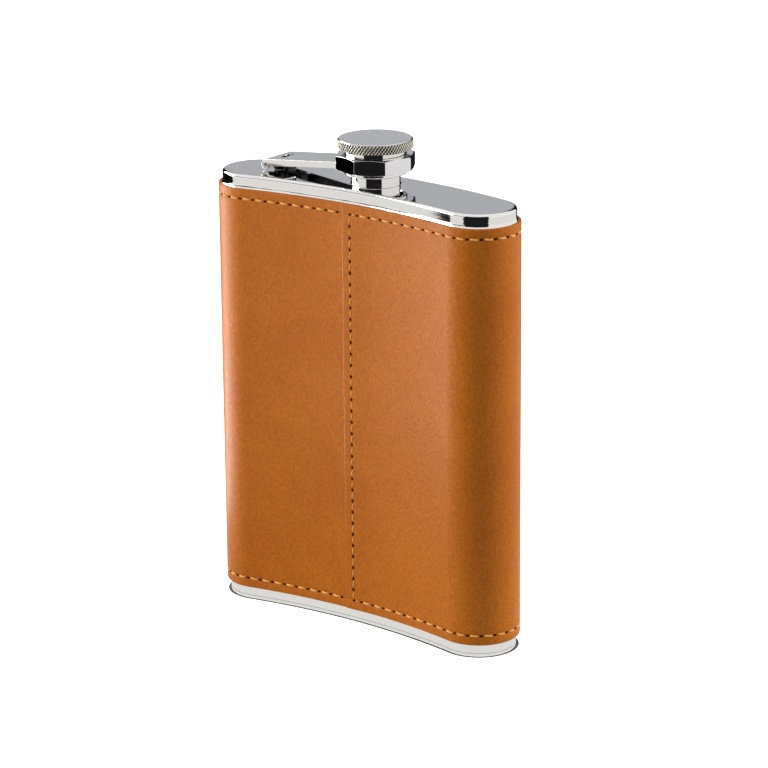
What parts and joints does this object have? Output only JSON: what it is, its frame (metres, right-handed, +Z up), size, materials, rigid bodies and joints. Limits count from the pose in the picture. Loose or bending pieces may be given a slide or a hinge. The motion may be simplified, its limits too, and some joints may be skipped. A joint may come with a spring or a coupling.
{
  "type": "hip flask",
  "caption": "Curved pocket flask with a stitched leather wrap, a threaded neck and a knurled screw cap held captive on a hinged arm.",
  "frame": {"origin": "on the flat underside of the base, on the neck's axis, halfway through the flask's thickness at mid width", "axes": "+Z up along the neck's axis, X along the width with the arm's hinge at -X, and -Y out of the hollow face that lies against the hip"},
  "size_m": [0.0952, 0.0264, 0.1328],
  "materials": {
    "body_steel": "polished stainless steel",
    "mirror_steel": "mirror polished stainless steel",
    "leather": "smooth satin tan leather",
    "thread": "waxed golden thread",
    "seal_rubber": "matt food-grade rubber"
  },
  "bodies": {
    "flask": {"body_wall": "body_steel", "bottom_plate": "body_steel", "top_plate": "mirror_steel", "neck": "mirror_steel", "hinge_bracket": "mirror_steel", "leather_wrap": "leather", "top_seam_thread": "thread", "bottom_seam_thread": "thread", "lap_seam_thread": "thread"},
    "arm": {"retaining_arm": "mirror_steel", "hinge_pin": "mirror_steel", "cap_collar": "mirror_steel"},
    "cap": {"cap_sleeve": "mirror_steel", "cap_ring": "mirror_steel", "cap_head": "mirror_steel", "cap_seal": "seal_rubber"}
  },
  "joints": [
    {"name": "arm_swing", "type": "hinge", "parent": "flask", "child": "arm", "pos_m": [-0.033, 0, 0.1219], "axis": [0, -1, 0], "range_deg": [0, 172]},
    {"name": "cap_turn", "type": "hinge", "parent": "arm", "child": "cap", "pos_m": [0, 0, 0.1203], "axis": [0, 0, 1], "continuous": true}
  ]
}
